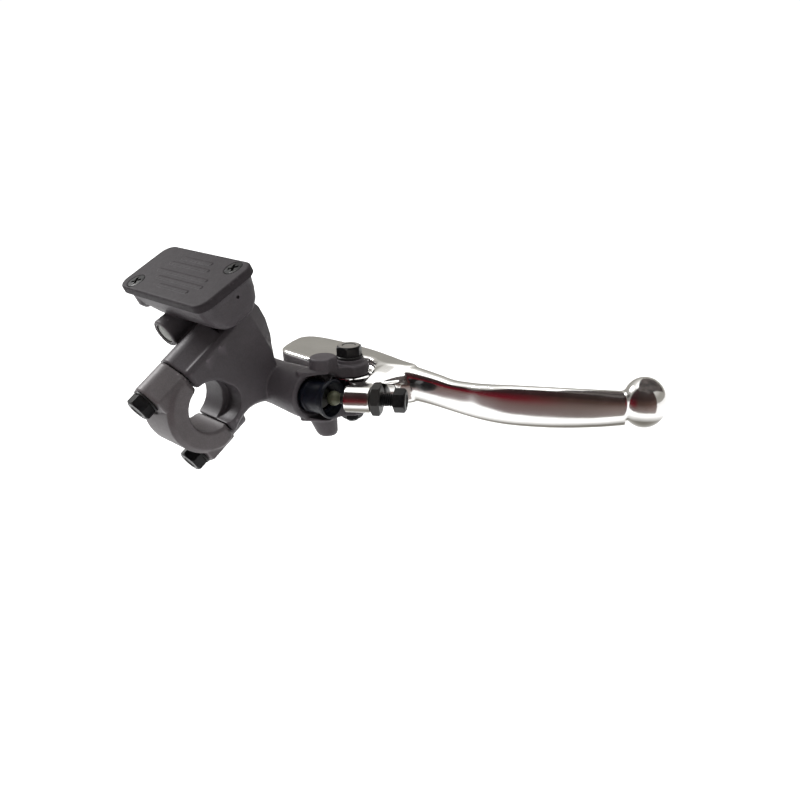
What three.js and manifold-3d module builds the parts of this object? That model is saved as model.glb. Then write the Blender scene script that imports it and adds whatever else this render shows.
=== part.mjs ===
// Front brake master cylinder for a 22.2 mm handlebar, right-hand side of the bike.
// Millimetres. Origin: centre of the handlebar bore at mid clamp width.
// +X outboard along the handlebar and the cylinder, +Y forward, +Z up along the lever pivot.
import * as THREE from 'three';
import { mergeVertices } from 'three/addons/utils/BufferGeometryUtils.js';
import Module from 'manifold-3d';

const wasm = await Module();
wasm.setup();

// ---- driving dimensions -------------------------------------------------------------------
const RAD = Math.PI / 180;
const FIT = 0.1;                 // gap left between pieces that are bolted together
const BAR_BORE_R = 11.15;        // for a 22.2 mm handlebar
const CLAMP_TILT = 33 * RAD;     // clamp bolts point this far above forward
const CLAMP_HALF_W = 12;
const CLAMP_HALF_H = 20;
const HOLDER_R = 20.5;
const BOLT_T = 18;               // clamp bolt lines above and below the bore
const SEAT_N = [16, 14.4];       // upper and lower bolt seats behind the bore axis
const CAP_TILT = 25.5 * RAD;     // the reservoir lid rises towards the front
const CAP_CENTRE = [-11.2, 6.2, 51.9];
const CAP_L = 66, CAP_W = 31.2, CAP_T = 3.8;
const CYL_Y = 37.5;              // cylinder axis, parallel to the handlebar
const CYL_R = 9.9, MOUTH_R = 10.9, PISTON_BORE_R = 6.35;
const PORT_X = -38, MOUTH_X = 31.5;
const PIVOT = [34.5, 56.2];
const EAR_IN = 6.3, EAR_OUT = 11.2, EAR_R = 8.4;
const PIVOT_SEAT = 13, NUT_SEAT = -10.4;  // faces under the pivot washer and the pivot nut
const LUMP = [33.0, 42.8];       // cast pads beside the pivot, above and below
const ADJ_A = 35.6 * RAD;        // adjuster screw direction at rest, from +X towards +Y
const ADJ_P = [45.4, 43.4];      // inner end of the adjuster boss
const GLASS_X = -16.8;

// ---- frames -------------------------------------------------------------------------------
const V = (x, y, z) => new THREE.Vector3(x, y, z);
const X = V(1, 0, 0), Y = V(0, 1, 0), Z = V(0, 0, 1);
const CN = V(0, Math.cos(CLAMP_TILT), Math.sin(CLAMP_TILT));     // clamp: holder to body
const CT = V(0, -Math.sin(CLAMP_TILT), Math.cos(CLAMP_TILT));    // clamp: up along the split
const RY = V(0, Math.cos(CAP_TILT), Math.sin(CAP_TILT));         // lid: towards its front edge
const RZ = V(0, -Math.sin(CAP_TILT), Math.cos(CAP_TILT));        // lid: normal
const ADJ = V(Math.cos(ADJ_A), Math.sin(ADJ_A), 0);
const frame = (origin, ex, ey) => new THREE.Matrix4()
  .makeBasis(ex, ey, new THREE.Vector3().crossVectors(ex, ey)).setPosition(origin);
const atClamp = (x, n, t) => V(x, 0, 0).addScaledVector(CN, n).addScaledVector(CT, t);
const atLid = (x, y, z) => V(...CAP_CENTRE).addScaledVector(X, x).addScaledVector(RY, y).addScaledVector(RZ, z);
const atAdj = (s) => V(ADJ_P[0], ADJ_P[1], 0).addScaledVector(ADJ, s);
const CLAMP_PROFILE = frame(V(0, 0, 0), CN, CT);                 // local z is +X
const CLAMP_PLAN = frame(V(0, 0, 0), CT, X);                     // local z is CN
const LID = frame(V(...CAP_CENTRE), X, RY);                      // local z is the lid normal
const FLAT = frame(V(0, 0, 0), X, Y);

// ---- solid helpers ------------------------------------------------------------------------
function solid(geometry) {
  const bare = geometry.clone();
  bare.deleteAttribute('normal');
  bare.deleteAttribute('uv');
  const merged = mergeVertices(bare, 1e-4);
  const made = new wasm.Manifold(new wasm.Mesh({
    numProp: 3,
    vertProperties: Float32Array.from(merged.attributes.position.array),
    triVerts: Uint32Array.from(merged.index.array),
  }));
  return made;
}
const union = (...parts) => parts.reduce((a, b) => a.add(b));
const cut = (base, ...tools) => tools.reduce((a, b) => a.subtract(b), base);

// Round bar between two points, optionally tapered.
function bar(from, to, r, n = 24, r2 = r) {
  const d = new THREE.Vector3().subVectors(to, from);
  const g = new THREE.CylinderGeometry(r2, r, d.length(), n, 1);
  g.applyQuaternion(new THREE.Quaternion().setFromUnitVectors(Y, d.clone().normalize()));
  g.translate(...from.clone().addScaledVector(d, 0.5).toArray());
  return solid(g);
}
// Turned piece: profile of [radius, distance] pairs along an axis from a point.
function turned(profile, origin, axis, n = 32) {
  const g = new THREE.LatheGeometry(profile.map(([r, h]) => new THREE.Vector2(r, h)), n);
  g.applyQuaternion(new THREE.Quaternion().setFromUnitVectors(Y, axis));
  g.translate(origin.x, origin.y, origin.z);
  return solid(g);
}
// Flat outline pushed from z0 to z1 in a local frame, with an optional chamfer on both ends.
function plate(outline, z0, z1, matrix, chamfer = 0) {
  const shape = new THREE.Shape(outline.map(([a, b]) => new THREE.Vector2(a, b)));
  const g = new THREE.ExtrudeGeometry(shape, {
    depth: z1 - z0 - 2 * chamfer, steps: 1, bevelEnabled: chamfer > 0, bevelThickness: chamfer,
    bevelSize: chamfer, bevelOffset: -chamfer, bevelSegments: 1, curveSegments: 1,
  });
  g.translate(0, 0, z0 + chamfer);
  g.applyMatrix4(matrix);
  return solid(g);
}
// Skin over matching rings of points, closed at both ends.
function loft(rings) {
  const n = rings[0].length, pos = [], idx = [];
  rings.flat().forEach((p) => pos.push(p.x, p.y, p.z));
  for (let k = 0; k + 1 < rings.length; k++) {
    for (let i = 0; i < n; i++) {
      const a = k * n + i, b = k * n + (i + 1) % n;
      idx.push(a, b, b + n, a, b + n, a + n);
    }
  }
  const last = (rings.length - 1) * n;
  for (let i = 1; i + 1 < n; i++) {
    idx.push(0, i + 1, i);
    idx.push(last, last + i, last + i + 1);
  }
  const g = new THREE.BufferGeometry();
  g.setAttribute('position', new THREE.Float32BufferAttribute(pos, 3));
  g.setIndex(idx);
  return solid(g);
}
// Outlines.
const arc = (cx, cy, r, a0, a1, n) => Array.from({ length: n + 1 }, (_, i) => {
  const a = (a0 + (a1 - a0) * i / n) * RAD;
  return [cx + r * Math.cos(a), cy + r * Math.sin(a)];
});
const circle = (cx, cy, r, n) => arc(cx, cy, r, 0, 360, n).slice(0, n);
const roundedRect = (x0, x1, y0, y1, r, n = 3) => [
  ...arc(x1 - r, y0 + r, r, -90, 0, n), ...arc(x1 - r, y1 - r, r, 0, 90, n),
  ...arc(x0 + r, y1 - r, r, 90, 180, n), ...arc(x0 + r, y0 + r, r, 180, 270, n)];
function hull(points) {
  const s = [...points].sort((a, b) => a[0] - b[0] || a[1] - b[1]);
  const turn = (o, a, b) => (a[0] - o[0]) * (b[1] - o[1]) - (a[1] - o[1]) * (b[0] - o[0]);
  const half = (list) => list.reduce((h, p) => {
    while (h.length > 1 && turn(h[h.length - 2], h[h.length - 1], p) <= 1e-9) h.pop();
    h.push(p);
    return h;
  }, []).slice(0, -1);
  return [...half(s), ...half(s.reverse())];
}
const hexagon = (af) => circle(0, 0, af / Math.sqrt(3), 6);

// Hex-headed bolt: head outward along axis from the seat, shank into the work.
function hexBolt(seat, axis, af, headH, shankR, shankL, flangeR = 0) {
  const side = Math.abs(axis.x) > 0.9 ? Y : X;
  const ex = side.clone().addScaledVector(axis, -side.dot(axis)).normalize();
  const m = frame(seat, ex, new THREE.Vector3().crossVectors(axis, ex));
  const head = plate(hexagon(af), 0, headH, m)
    .intersect(turned([[0, -1], [af * 0.6, -1], [af * 0.6, headH - 0.9], [af * 0.5, headH], [0, headH]],
      seat, axis, 24));
  const shank = turned([[0, -shankL], [shankR - 0.6, -shankL], [shankR, 0.6 - shankL], [shankR, 0.5], [0, 0.5]],
    seat, axis, 20);
  const flange = flangeR > 0 ? [bar(seat, seat.clone().addScaledVector(axis, 0.9), flangeR, 24)] : [];
  return union(head, shank, ...flange);
}
const washer = (seat, axis, rIn, rOut, t) => turned(
  [[rIn, 0], [rOut, 0], [rOut, t], [rIn, t], [rIn, 0]], seat, axis, 24);

// ---- body casting -------------------------------------------------------------------------
const lidRing = ([z, x0, x1, y0, y1, r]) => roundedRect(x0, x1, y0, y1, r).map(([a, b]) => atLid(a, b, z));
const RESERVOIR = [
  [-18.6, -6, 28.6, -5.2, 6, 2.5], [-17, -11.5, 30.2, -8.6, 8.6, 3.5], [-14, -17.5, 30.9, -11.6, 11.2, 4],
  [-9.5, -24.5, 31.1, -13.4, 13, 4.5], [-6.4, -28.3, 31.2, -14.1, 13.8, 5],
  [-CAP_T - FIT, -31.2, 31.6, -14.5, 14.4, 5]];
const CAVITY = [
  [-15.8, -8, 25.5, -4.6, 4.6, 2.5], [-13.4, -13, 27.2, -8, 7.6, 3], [-9.5, -19.5, 28, -9.8, 9.4, 3],
  [-6, -24.5, 28.3, -10.8, 10.4, 3], [-CAP_T + 1, -25.5, 28.4, -10.8, 10.8, 3]];

const CAP_SCREWS = [[-24, -10.2], [24, 10.2]];
const columns = CAP_SCREWS.map(([x, y]) => turned([[0, 0], [2.6, 0], [4.2, 2.4], [4.2, 8.5], [0, 8.5]],
  atLid(x, y, -12.6), RZ, 18));
const barrel = turned([[0, 0], [9.2, 0], [10.4, 1.2], [10.4, 9], [CYL_R, 10.5], [CYL_R, 46], [MOUTH_R, 63],
  [MOUTH_R, MOUTH_X - PORT_X - 0.5], [MOUTH_R - 0.5, MOUTH_X - PORT_X], [0, MOUTH_X - PORT_X]], V(PORT_X, CYL_Y, 0), X, 28);
const lugPlan = (sign) => hull([...circle(BOLT_T, 0, 6.5, 20), [BOLT_T + 1.4, 10.2], [BOLT_T + 1.4, -10.2],
  [BOLT_T - 5, 10.6], [BOLT_T - 5, -10.6]].map(([t, x]) => [sign * t, x]));
const armOutline = [[0.15, -18.6], [4.5, -16.2], [9, -15.2], [13.5, -15.4], [18, -17.6], [23, -22], [31, -22],
  [33.6, -12], [36.1, -2.7], [36.8, 6.8], [37.6, 19.1], [36, 22.5], [33, 23],
  [30, CLAMP_HALF_H], [0.15, CLAMP_HALF_H]];
const arm = plate(armOutline, -CLAMP_HALF_W, CLAMP_HALF_W, CLAMP_PROFILE, 1.8);
const WEB_SIDE = [[30, -10], [34.2, -9.5], [36.1, -2.7], [36.6, 3], [36.8, 6.8], [37.4, 13], [37.6, 19.1],
  [35.5, 22], [30, 22]];
const WEB_FRONT = [[30, -12], [35.4, -11], [38.9, -3.6], [41.6, 1], [44, 8.2], [44.7, 14.5], [43.6, 20.5],
  [39, 25.5], [30, 24]];
const web = loft([[-11.9, WEB_SIDE], [-8.3, WEB_FRONT], [8.3, WEB_FRONT], [11.9, WEB_SIDE]]
  .map(([x, outline]) => outline.map(([n, t]) => atClamp(x, n, t))));
const bodyLugs = [plate(lugPlan(1), 0.15, 23.5, CLAMP_PLAN, 0.6),
  plate(hull([...circle(-BOLT_T, 0, 6.3, 20), [-11, 8], [-11, -8]]), 0.15, 10, CLAMP_PLAN, 0.6)];
const glassFace = atLid(GLASS_X - CAP_CENTRE[0], -19, -18.8);
const glassBoss = turned([[0, 0], [6.0, 0], [6.6, 0.6], [6.6, 19], [0, 19]], glassFace, RY, 24);
const earPlan = (...root) => hull([...circle(...PIVOT, EAR_R, 24), ...circle(...LUMP, 6.8, 16), ...root]);
const ears = [plate(earPlan([26.5, 37.5], [26.5, 33], [29.5, 31.3]), 0, EAR_OUT, FLAT, 0.6),
  plate(earPlan([25.5, 36], [29, 31.5]), -EAR_OUT, 0.8, FLAT, 0.6)];
const pivotSeat = bar(V(...PIVOT, EAR_OUT - 1), V(...PIVOT, PIVOT_SEAT), 6.6, 28, 6.2);
const earScallop = bar(V(45.8, 44.6, -20), V(45.8, 44.6, 20), 8, 28);
const lumps = [
  turned([[0, 0], [6.1, 0], [5.9, 5.9], [5.1, 6.6], [0, 6.6]], V(...LUMP, EAR_OUT - 1.5), Z, 20),
  loft([[-9.4, -1.9, -0.9, 6.6], [-17.6, -0.5, 0.3, 4.6], [-19.1, -0.3, 0.5, 3.9]]
    .map(([z, dx, dy, r]) => circle(LUMP[0] + dx, LUMP[1] + dy, r, 20).reverse().map(([x, y]) => V(x, y, z)))),
];
const slotOutline = [[-45, 48.2], [27, 48.2], [27.6, 49.6], ...arc(...PIVOT, 9.4, 223, 262, 5),
  [MOUTH_X + 0.02, 46.4], [MOUTH_X + 0.02, 20], [70, 20], [70, 90], [-45, 90]];
const slot = plate(slotOutline, -EAR_IN, EAR_IN, FLAT);
const boreRelief = bar(atClamp(2.5, 4, -3), atClamp(14, 4, -3), 9, 24);
const along = (x0, x1, r, n = 24) => bar(V(x0, CYL_Y, 0), V(x1, CYL_Y, 0), r, n);
const bodyCasting = cut(
  union(barrel, arm, web, ...bodyLugs, loft(RESERVOIR.map(lidRing)), ...columns, glassBoss, ...ears, pivotSeat, ...lumps),
  slot, earScallop,
  bar(atClamp(-20, 0, 0), atClamp(20, 0, 0), BAR_BORE_R, 32),
  ...[1, -1].map((s) => bar(atClamp(s * (CLAMP_HALF_W - 0.8), 0, 0), atClamp(s * (CLAMP_HALF_W + 0.2), 0, 0),
    BAR_BORE_R, 32, BAR_BORE_R + 1)),
  boreRelief,
  ...[1, -1].map((s) => bar(atClamp(0, -1, s * BOLT_T), atClamp(0, s > 0 ? 14 : 8.6, s * BOLT_T), 3.3, 16)),
  loft(CAVITY.map(lidRing)),
  bar(glassFace.clone().addScaledVector(RY, -1), glassFace.clone().addScaledVector(RY, 1.6), 5.3, 24),
  bar(glassFace.clone().addScaledVector(RY, 1), glassFace.clone().addScaledVector(RY, 15), 4.2, 16),
  bar(atLid(GLASS_X - CAP_CENTRE[0] + 1, -6.5, -18), atLid(GLASS_X - CAP_CENTRE[0] + 1, -2.5, -9), 2.6, 14),
  along(-31, MOUTH_X + 1, PISTON_BORE_R),
  along(PORT_X - 1, -30, 4.2, 16),
  along(MOUTH_X - 5, MOUTH_X + 1, 7.4),
  along(MOUTH_X - 1.2, MOUTH_X + 0.1, 8.4, 28),
  along(MOUTH_X, MOUTH_X + 16, 9.8, 28),
  bar(V(35, 38, 0), V(46, 42.6, 0), 10.2, 28),
  bar(atLid(6, 0, -10), V(-4, CYL_Y - 2, 3), 1.5, 12),
  bar(V(...PIVOT, -20), V(...PIVOT, 20), 3.15, 24),
  bar(V(...PIVOT, -14), V(...PIVOT, NUT_SEAT), 6.6, 28),
  ...CAP_SCREWS.map(([x, y]) => bar(atLid(x, y, 1), atLid(x, y, -10.5), 1.9, 12)),
);

// ---- lid, diaphragm and reservoir fittings ------------------------------------------------
const lidOutline = (inset, r) => roundedRect(-CAP_L / 2 + inset, CAP_L / 2 - inset, -CAP_W / 2 + inset,
  CAP_W / 2 - inset, r, 3);
const capBlank = union(
  plate(lidOutline(0, 6), -CAP_T, -0.6, LID, 0.5),
  plate(lidOutline(1.1, 5), -1.2, 0, LID, 0.5),
);
const reservoirCap = cut(capBlank,
  plate(roundedRect(-27, 29, -12, 12, 3, 3), -CAP_T - 1, -CAP_T + 1.3, LID),
  ...CAP_SCREWS.flatMap(([x, y]) => [bar(atLid(x, y, -5), atLid(x, y, 1), 2.15, 18),
    bar(atLid(x, y, -2.3), atLid(x, y, 0.01), 2.15, 18, 4.45), bar(atLid(x, y, 0), atLid(x, y, 1), 4.45, 18)]),
);
const diaphragm = cut(union(
  plate(roundedRect(-26.6, 28.6, -11.6, 11.6, 3, 3), -CAP_T - 0.05, -CAP_T + 0.9, LID),
  plate(roundedRect(-20, 26, -8.3, 8.3, 2.5, 3), -6.0, -CAP_T, LID),
), plate(roundedRect(-18.8, 24.8, -7.1, 7.1, 2, 3), -4.9, 0, LID),
...CAP_SCREWS.map(([x, y]) => bar(atLid(x, y, -5), atLid(x, y, 0), 2.2, 14)));
const diaphragmPlate = plate(roundedRect(-18.5, 24.5, -6.8, 6.8, 2, 3), -4.8, -3.7, LID);
const capScrews = CAP_SCREWS.map(([x, y]) => cut(
  turned([[0, -9.6], [1.3, -9.6], [1.6, -9.2], [1.6, -2.35], [1.9, -2.3], [4.1, -0.1], [0, -0.1]],
    atLid(x, y, 0), RZ, 20),
  plate([[-2.4, -0.5], [2.4, -0.5], [2.4, 0.5], [-2.4, 0.5]], -1.6, 1, frame(atLid(x, y, 0), X, RY)),
  plate([[-0.5, -2.4], [0.5, -2.4], [0.5, 2.4], [-0.5, 2.4]], -1.6, 1, frame(atLid(x, y, 0), X, RY)),
));
const sightLens = turned([[0, 0.35], [2.6, 0.45], [4.9, 1.0], [4.9, 1.45], [0, 1.45]], glassFace, RY, 24);
const portCover = union(
  plate(roundedRect(1, 11, -4, 4, 1.2, 2), -13.9, -13.1, LID),
  bar(atLid(6, 3, -13.5), atLid(6, 3, -11.6), 1, 10),
);

// ---- clamp holder and bolts ---------------------------------------------------------------
const holderOutline = [[-0.25, -19.2], ...arc(0, 0, HOLDER_R, 250, 110, 14), [-0.25, 20]];
const holderBlock = plate([...holderOutline].reverse(), -CLAMP_HALF_W, CLAMP_HALF_W, CLAMP_PROFILE, 2);
const seatN = (s) => SEAT_N[s > 0 ? 0 : 1];
const holderLugs = [1, -1].map((s) => plate(lugPlan(s), -seatN(s), -0.25, CLAMP_PLAN, 0.6));
const clampHolder = cut(union(holderBlock, ...holderLugs),
  plate([[-0.25, -40], [10, -40], [10, 40], [-0.25, 40]], -30, 30, CLAMP_PROFILE),
  bar(atClamp(-20, 0, 0), atClamp(20, 0, 0), BAR_BORE_R, 32),
  ...[1, -1].map((s) => bar(atClamp(s * (CLAMP_HALF_W - 0.8), 0, 0), atClamp(s * (CLAMP_HALF_W + 0.2), 0, 0),
    BAR_BORE_R, 32, BAR_BORE_R + 1)),
  ...[1, -1].map((s) => bar(atClamp(0, 2, s * BOLT_T), atClamp(0, -seatN(s) - 8, s * BOLT_T), 3.3, 18)),
  ...[1, -1].map((s) => bar(atClamp(0, -seatN(s), s * BOLT_T), atClamp(0, -seatN(s) - 9, s * BOLT_T), 7.0, 24)),
);
const clampSeat = (s, extra) => atClamp(0, -seatN(s) - extra, s * BOLT_T);
const BACK = CN.clone().negate();
const clampWashers = [1, -1].map((s) => washer(clampSeat(s, FIT), BACK, 3.3, 5.9, 1.0));
const clampBolts = [1, -1].map((s) => hexBolt(clampSeat(s, 1.0 + 2 * FIT), BACK, 10, 4.8, 3, s > 0 ? 29.5 : 23.2));

// ---- piston group -------------------------------------------------------------------------
const onCyl = V(0, CYL_Y, 0);
const piston = turned([[0, 3], [5.0, 3], [5.0, 5.6], [3.6, 5.6], [3.6, 8.4], [6.15, 8.4], [6.15, 10.4],
  [4.3, 10.4], [4.3, 20.4], [6.15, 20.4], [6.15, 22.0], [4.3, 22.0], [4.3, 25.2], [6.15, 25.2], [6.15, 26.4],
  [4.6, 26.6], [4.6, 37.6], [4.2, 38.0], [0, 38.0]], onCyl, X, 20);
const primaryCup = turned([[3.75, 5.7], [6.2, 5.7], [6.2, 8.3], [3.75, 8.3], [3.75, 5.7]], onCyl, X, 20);
const secondaryCup = turned([[4.45, 22.15], [6.2, 22.15], [6.2, 25.05], [4.45, 25.05], [4.45, 22.15]], onCyl, X, 20);
function coil(x0, x1, r, wire, turns, steps, sides) {
  const rings = Array.from({ length: steps + 1 }, (_, i) => {
    const a = turns * 2 * Math.PI * i / steps, x = x0 + (x1 - x0) * i / steps;
    const out = V(0, Math.cos(a), Math.sin(a));
    return Array.from({ length: sides }, (_, k) => {
      const b = -2 * Math.PI * k / sides;
      return V(x + wire * Math.sin(b), CYL_Y, 0).addScaledVector(out, r + wire * Math.cos(b));
    });
  });
  return loft(rings);
}
const returnSpring = coil(-28.8, 1.9, 4.4, 0.6, 7, 70, 5);
const snapRing = cut(turned([[6.0, 28.9], [7.1, 28.9], [7.1, 29.9], [6.0, 29.9], [6.0, 28.9]], onCyl, X, 20),
  plate([[28, 0], [31, 0], [31, 12], [28, 12]].map(([a, b]) => [a, b + CYL_Y]), -1.6, 1.6, FLAT));
const stopWasher = turned([[4.9, 26.75], [7.1, 26.75], [7.1, 28.6], [4.9, 28.6], [4.9, 26.75]], onCyl, X, 20);
// The boot leaves the mouth on the piston's axis and leans over to the adjuster's rounded tip.
const BOOT = [[30.1, 37.5, 0], [31.6, 37.5, 0], [34, 37.5, 0], [37, 37.7, 5], [39.2, 38.3, 10], [40.9, 39.0, 14],
  [42.2, 39.5, 14]];
const bootSkin = (radii, grow) => loft(BOOT.map(([x, y, lean], i) => {
  const c = Math.cos(lean * RAD), s = Math.sin(lean * RAD), end = grow * (i === 0 ? -1 : i === BOOT.length - 1 ? 1 : 0);
  return circle(0, 0, radii[i], 24).map(([a, b]) => V(x + end * c - a * s, y + end * s + a * c, b));
}));
const dustBoot = cut(bootSkin([7.15, 7.15, 6.9, 6.8, 7.0, 8.3, 8.4], 0),
  bootSkin([6.2, 6.2, 5.8, 5.8, 6.1, 7.2, 7.6], 0.3));

// ---- lever --------------------------------------------------------------------------------
const HUB_TOP = 10, HUB_BOTTOM = -7.2, TONGUE = 6.0;
const hubOutline = [[16.6, 49.4], [21.9, 57.6], [24.9, 62.8], [28.9, 66.6], [35.2, 68.2], [41.2, 66.0],
  [46, 65.6], [52, 68.4], [57.5, 70], [58.2, 75.9], [47.3, 76.2],
  [37, 77.6], [26.6, 78.6], [14, 78.6], [2, 77.8], [-8, 76.6], [-14, 74.4], [-17, 70.6], [-16.6, 66],
  [-13.4, 58.8], [-10, 52.6], [-6, 49.6]];
const hub = plate(hubOutline, HUB_BOTTOM, HUB_TOP, FLAT, 1.3);
const tongue = plate(hull([...circle(...PIVOT, 8.5, 28), [22, 64], [26, 70], [46, 70]]), -TONGUE, TONGUE, FLAT, 0.4);
const bossWeb = plate([[34.5, 50.6], [39.2, 50.2], [43.0, 48.3], [52.0, 49.5], [58, 60], [58, 70], [38, 64]],
  -5.2, 5.2, FLAT, 0.6);
const FLANK = [   // sloping shoulder: upper edge x, y, z, then foot x, y, z
  [40.2, 66.8, 9.6, 44.8, 58.5, 6.0], [45.8, 67.4, 9.9, 46.6, 52.4, 5.6], [51.4, 70.3, 9.9, 53, 54, 5.0],
  [56.9, 71.3, 8.93, 57.6, 62.2, 3.63], [60.3, 72.1, 7.7, 60.6, 69.3, 2.37]];
const flank = loft(FLANK.map(([x, y, z, fx, fy, fz]) => [V(x, y, z),
  V((x + fx) / 2, (y + fy) / 2, (z + fz) / 2 + 0.5), V(fx, fy, fz), V(fx, fy, -4.83), V(x, y, -4.83)]));
const adjBoss = bar(atAdj(0), atAdj(11.7), 5.7, 28);
const BLADE = [   // x, y, z of the widest line; height above it; depth below it; thickness
  [49.5, 70.6, 3.0, 6.5, 9.8, 9.0], [56.5, 71.9, 3.8, 5.8, 9.4, 9.6], [63, 73.2, 4.7, 4.1, 10.3, 8.8],
  [69.5, 74.7, 4.6, 3.2, 10.8, 7.6], [76.5, 76.2, 3.9, 2.8, 10.9, 6.8], [85, 77.5, 3.2, 4.0, 10.8, 6.6],
  [94, 78.2, 2.6, 5.8, 10.1, 6.8], [103, 79.4, 2.9, 6.9, 9.9, 7.0], [112, 82.0, 3.2, 7.5, 9.5, 7.2],
  [121, 85.2, 3.3, 8.1, 8.7, 7.4], [130, 89.0, 3.6, 8.3, 7.8, 7.6], [138.5, 93.2, 4.4, 7.8, 7.2, 8.0],
  [146, 99.4, 5.8, 5.9, 7.6, 8.6]];
const bladeRings = BLADE.map(([x, y, z, up, down, w], i) => {
  const a = BLADE[Math.max(i - 1, 0)], b = BLADE[Math.min(i + 1, BLADE.length - 1)];
  const along2 = V(b[0] - a[0], b[1] - a[1], 0).normalize();
  const across = V(-along2.y, along2.x, 0);
  return Array.from({ length: 14 }, (_, k) => {
    const q = 2 * Math.PI * (k + 0.5) / 14, c = Math.cos(q), s = Math.sin(q);
    const u = Math.sign(c) * Math.abs(c) ** 0.75 * w / 2, v = Math.sign(s) * Math.abs(s) ** 0.8 * (s > 0 ? up : down);
    return V(x, y, z + v).addScaledVector(across, u);
  });
});
const ball = solid(new THREE.SphereGeometry(1, 18, 12).rotateX(Math.PI / 2).scale(8.8, 8.8, 10)
  .translate(151.0, 104.2, 7.3));
const lever = cut(
  union(hub, tongue, bossWeb, flank, adjBoss, loft(bladeRings), ball),
  bar(V(...PIVOT, -20), V(...PIVOT, 20), 4.3, 24),
  bar(atAdj(-1), atAdj(26), 3.4, 20),
  bar(atAdj(11.7), atAdj(27.5), 7.8, 24),
);
const upright = (p, z) => V(p[0], p[1], z);
const pivotBushing = turned([[3.25, -5.9], [4.2, -5.9], [4.2, 5.9], [3.25, 5.9], [3.25, -5.9]],
  upright(PIVOT, 0), Z, 24);
const pivotWasher = washer(upright(PIVOT, PIVOT_SEAT + FIT), Z, 3.3, 5.8, 1.1);
const pivotBolt = hexBolt(upright(PIVOT, PIVOT_SEAT + 1.1 + 2 * FIT), Z, 10, 4.3, 3.0, 30.1);
const pivotNut = turned([[3.15, 0], [4.2, 0], [4.96, 0.5], [4.96, 3.5], [4.2, 4.0], [3.15, 4.0], [3.15, 0]],
  upright(PIVOT, NUT_SEAT - FIT), V(0, 0, -1), 24)
  .intersect(plate(hexagon(8.6), -20, 0, frame(upright(PIVOT, 0), X, Y)));
const adjusterNut = turned([[2.9, 0], [5.9, 0], [6.93, 0.6], [6.93, 3.4], [5.9, 4.0], [2.9, 4.0], [2.9, 0]],
  atAdj(11.8), ADJ, 24)
  .intersect(plate(hexagon(12), 0, 30, frame(atAdj(0), Z, V(ADJ.y, -ADJ.x, 0))));
const screwTip = turned([...arc(0, -4.8, 3.2, -90, 50, 7).map(([a, b]) => [Math.max(a, 0), b]), [2.05, -1.2],
  [2.7, -0.6], [2.7, 22], [0, 22]], atAdj(0), ADJ, 20);
const adjusterScrew = union(screwTip,
  plate(hexagon(9), 21.4, 26.4, frame(atAdj(0), V(-ADJ.y, ADJ.x, 0), Z))
    .intersect(turned([[0, 20], [6, 20], [6, 25.6], [4.6, 26.4], [0, 26.4]], atAdj(0), ADJ, 24)));

// ---- assembly -----------------------------------------------------------------------------
const FINISH = {
  casting: ['#6b6468', 0.55, 0.35], lid: ['#746d71', 0.55, 0.35], black: ['#15161a', 0.45, 0.5],
  polished: ['#d8d8da', 0.12, 1.0], rubber: ['#12151f', 0.8, 0], glass: ['#8e9a80', 0.15, 0],
  zinc: ['#b9bcae', 0.35, 0.8], alloy: ['#a9abae', 0.4, 0.7], brass: ['#a88b4a', 0.4, 0.8],
  spring: ['#8f9296', 0.35, 0.9], plastic: ['#1d1d1f', 0.6, 0],
};
const root = new THREE.Group();
root.name = 'brake_master_cylinder';
function add(name, body, finish) {
  const mesh = body.getMesh();
  const g = new THREE.BufferGeometry();
  g.setAttribute('position', new THREE.BufferAttribute(new Float32Array(mesh.vertProperties), 3));
  g.setIndex(new THREE.BufferAttribute(new Uint32Array(mesh.triVerts), 1));
  const flat = g.toNonIndexed();
  flat.computeVertexNormals();
  const [color, roughness, metalness] = FINISH[finish];
  const node = new THREE.Mesh(flat, new THREE.MeshStandardMaterial({ color, roughness, metalness }));
  node.name = name;
  root.add(node);
}
add('body_casting', bodyCasting, 'casting');
add('reservoir_cap', reservoirCap, 'lid');
add('diaphragm', diaphragm, 'rubber');
add('diaphragm_plate', diaphragmPlate, 'plastic');
add('cap_screw_inboard', capScrews[0], 'black');
add('cap_screw_outboard', capScrews[1], 'black');
add('sight_lens', sightLens, 'glass');
add('port_cover', portCover, 'alloy');
add('clamp_holder', clampHolder, 'casting');
add('clamp_washer_upper', clampWashers[0], 'black');
add('clamp_washer_lower', clampWashers[1], 'black');
add('clamp_bolt_upper', clampBolts[0], 'black');
add('clamp_bolt_lower', clampBolts[1], 'black');
add('piston', piston, 'alloy');
add('primary_cup', primaryCup, 'rubber');
add('secondary_cup', secondaryCup, 'rubber');
add('return_spring', returnSpring, 'spring');
add('stop_washer', stopWasher, 'zinc');
add('snap_ring', snapRing, 'spring');
add('dust_boot', dustBoot, 'rubber');
add('lever', lever, 'polished');
add('pivot_bushing', pivotBushing, 'brass');
add('pivot_bolt', pivotBolt, 'black');
add('pivot_washer', pivotWasher, 'zinc');
add('pivot_nut', pivotNut, 'black');
add('adjuster_nut', adjusterNut, 'black');
add('adjuster_screw', adjusterScrew, 'black');
export default root;
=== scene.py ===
"""Motorcycle front brake master cylinder: detailed pieces and finishes on the CAD frame."""
import math

import bmesh
import bpy
from mathutils import Matrix, Vector

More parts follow.
